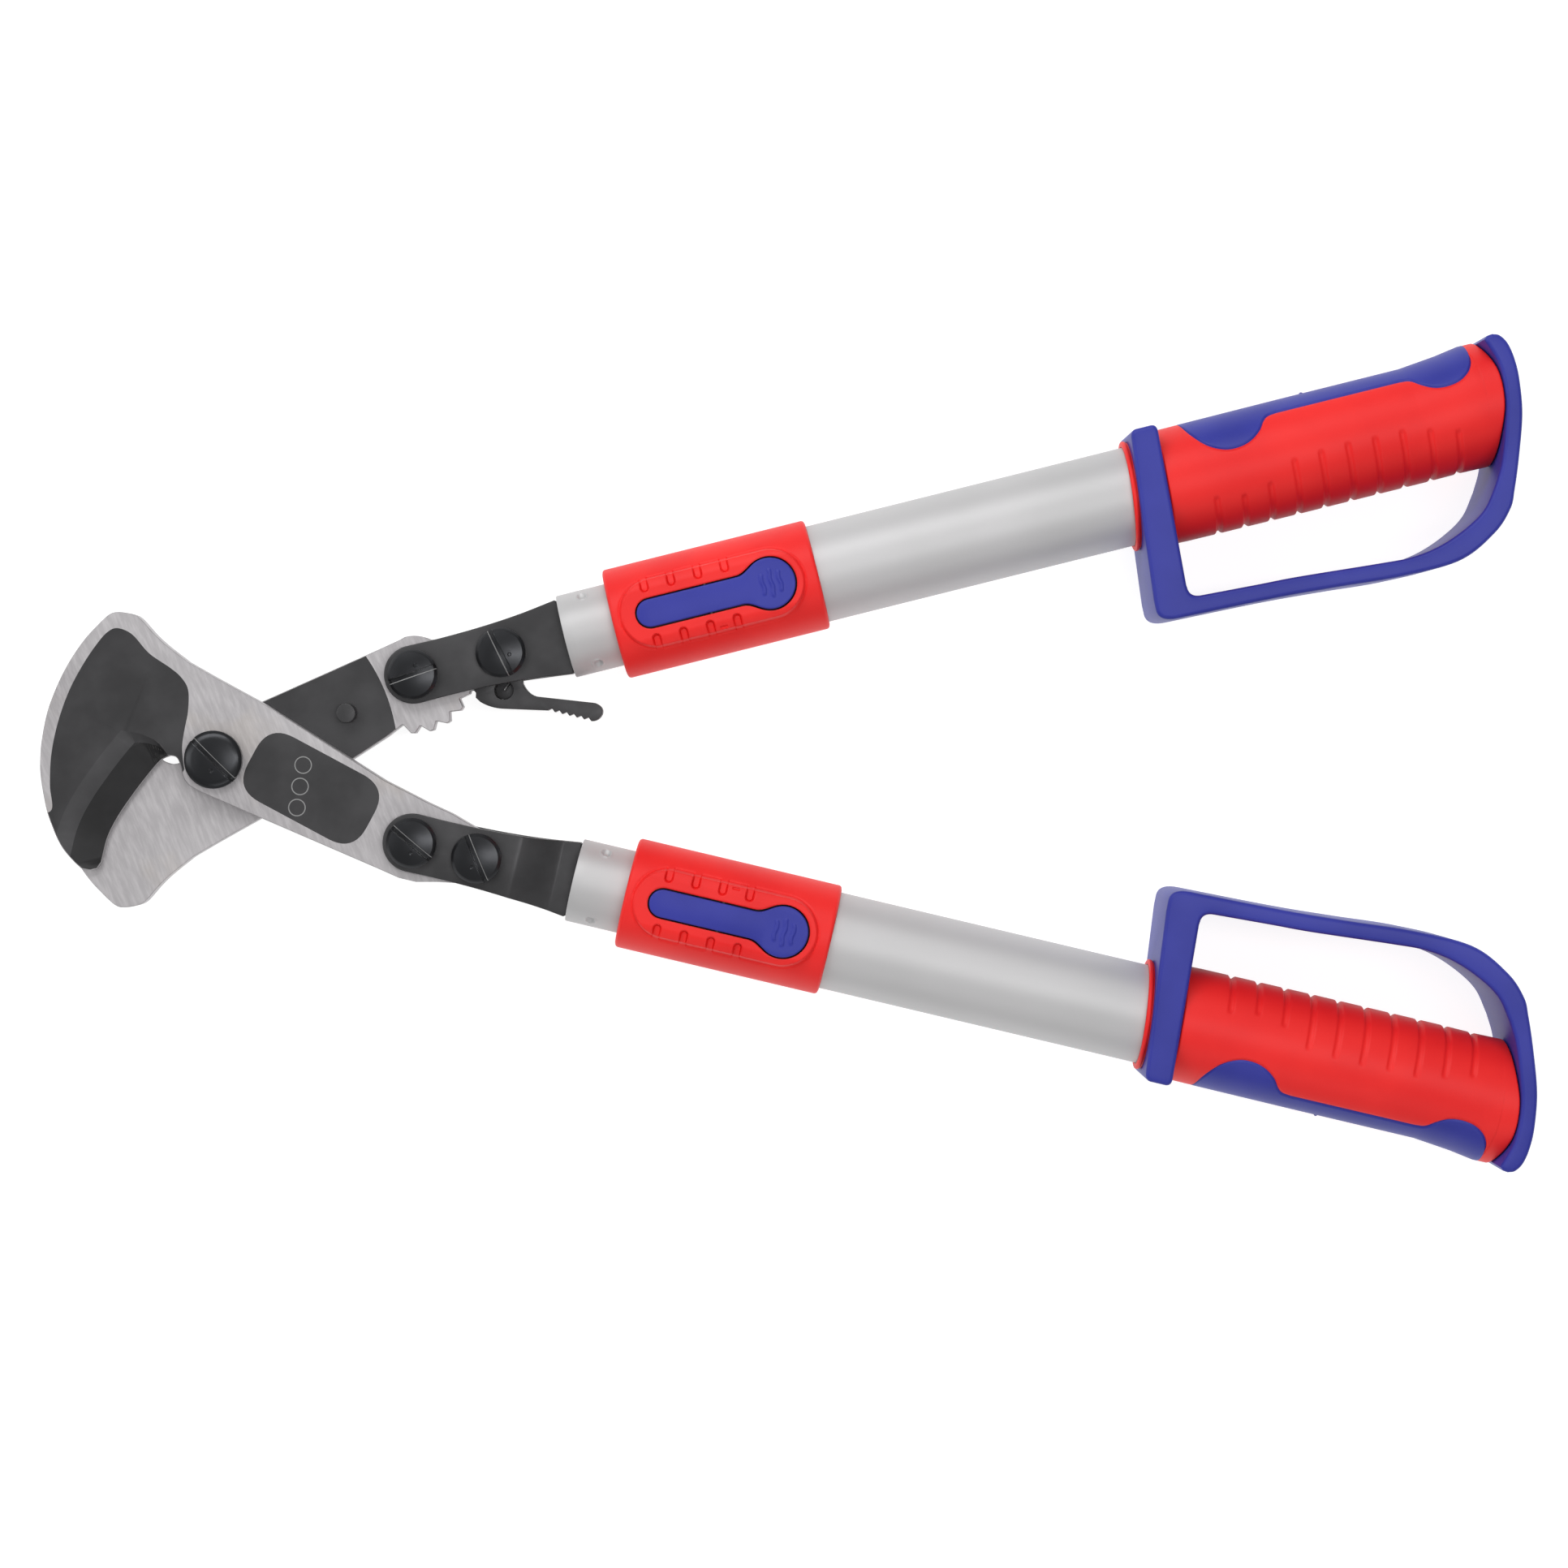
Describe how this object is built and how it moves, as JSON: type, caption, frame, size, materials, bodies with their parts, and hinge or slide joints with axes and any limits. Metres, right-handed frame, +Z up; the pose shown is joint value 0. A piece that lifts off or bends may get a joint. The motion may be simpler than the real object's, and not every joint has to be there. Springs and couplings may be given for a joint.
{
  "type": "ratchet cable cutter",
  "caption": "Long-handled cable cutters with hooked shear jaws, a ratchet and pawl at one handle, and telescopic handles with lock levers and hand guards.",
  "frame": {"origin": "middle of the bounding box's underside, on the surface the tool lies on", "axes": "+X from the jaws to the grips along the tool's length, +Y to the ratchet handle's side, +Z up through the tool's thin direction"},
  "size_m": [0.55, 0.3066, 0.045],
  "materials": {
    "black_steel": "satin black coating",
    "bright_steel": "ground and blasted bare steel",
    "spring_steel": "drawn bright wire and pins",
    "aluminium": "satin anodised",
    "red_plastic": "fine moulded grain",
    "blue_plastic": "fine moulded grain",
    "black_plastic": "plain moulded"
  },
  "bodies": {
    "fixed_jaw": {"blade_front": "black_steel", "main_pivot_bolt": "black_steel", "main_pivot_nut": "black_steel", "main_pivot_washer": "bright_steel", "fixed_front_plate": "black_steel", "fixed_back_plate": "black_steel", "fixed_bolt_1": "black_steel", "fixed_nut_1": "black_steel", "fixed_bolt_2": "black_steel", "fixed_nut_2": "black_steel", "fixed_tube_plug": "aluminium", "fixed_plug_rivet": "bright_steel", "fixed_inner_tube": "aluminium", "fixed_guide_bush": "black_plastic"},
    "moving_jaw": {"blade_rear": "bright_steel", "stop_pin": "black_steel"},
    "ratchet_handle": {"ratchet_front_plate": "black_steel", "ratchet_back_plate": "black_steel", "ratchet_pivot_bolt": "black_steel", "ratchet_pivot_nut": "black_steel", "pawl_bolt": "black_steel", "pawl_nut": "black_steel", "pawl_bush": "bright_steel", "pawl_spring": "spring_steel", "ratchet_tube_plug": "aluminium", "ratchet_plug_rivet": "bright_steel", "ratchet_inner_tube": "aluminium", "ratchet_guide_bush": "black_plastic"},
    "pawl_lever": {"pawl": "black_steel"},
    "fixed_grip_end": {"fixed_outer_tube": "aluminium", "fixed_lock_sleeve": "red_plastic", "fixed_lever_pin": "spring_steel", "fixed_lever_spring": "spring_steel", "fixed_grip": "red_plastic", "fixed_grip_inlay": "blue_plastic", "fixed_guard": "blue_plastic"},
    "ratchet_grip_end": {"ratchet_outer_tube": "aluminium", "ratchet_lock_sleeve": "red_plastic", "ratchet_lever_pin": "spring_steel", "ratchet_lever_spring": "spring_steel", "ratchet_grip": "red_plastic", "ratchet_grip_inlay": "blue_plastic", "ratchet_guard": "blue_plastic"},
    "fixed_release": {"fixed_lock_lever": "blue_plastic", "fixed_lock_pin": "spring_steel"},
    "ratchet_release": {"ratchet_lock_lever": "blue_plastic", "ratchet_lock_pin": "spring_steel"}
  },
  "joints": [
    {"name": "blade_pivot", "type": "hinge", "parent": "fixed_jaw", "child": "moving_jaw", "pos_m": [-0.21046, 0.00047, 0.0225], "axis": [0, 0, 1], "range_deg": [-13.5, 50]},
    {"name": "ratchet_pivot", "type": "hinge", "parent": "moving_jaw", "child": "ratchet_handle", "pos_m": [-0.13719, 0.03157, 0.0225], "axis": [0, 0, -1], "range_deg": [-10, 18.5]},
    {"name": "pawl_pivot", "type": "hinge", "parent": "ratchet_handle", "child": "pawl_lever", "pos_m": [-0.10435, 0.03955, 0.0185], "axis": [0, 0, -1], "range_deg": [-10, 6], "deforming": ["pawl_spring"]},
    {"name": "fixed_telescope", "type": "slide", "parent": "fixed_jaw", "child": "fixed_grip_end", "axis": [0.9718, -0.236, 0], "range_m": [0, 0.2]},
    {"name": "ratchet_telescope", "type": "slide", "parent": "ratchet_handle", "child": "ratchet_grip_end", "axis": [0.9718, 0.236, 0], "range_m": [0, 0.2]},
    {"name": "fixed_lock_lever_pivot", "type": "hinge", "parent": "fixed_grip_end", "child": "fixed_release", "pos_m": [-0.0235, -0.05824, 0.0425], "axis": [0.236, 0.9718, 0], "range_deg": [-2.6, 2.6], "deforming": ["fixed_lever_spring"]},
    {"name": "ratchet_lock_lever_pivot", "type": "hinge", "parent": "ratchet_grip_end", "child": "ratchet_release", "pos_m": [-0.02738, 0.05824, 0.0425], "axis": [-0.236, 0.9718, 0], "range_deg": [-2.6, 2.6], "deforming": ["ratchet_lever_spring"]}
  ]
}
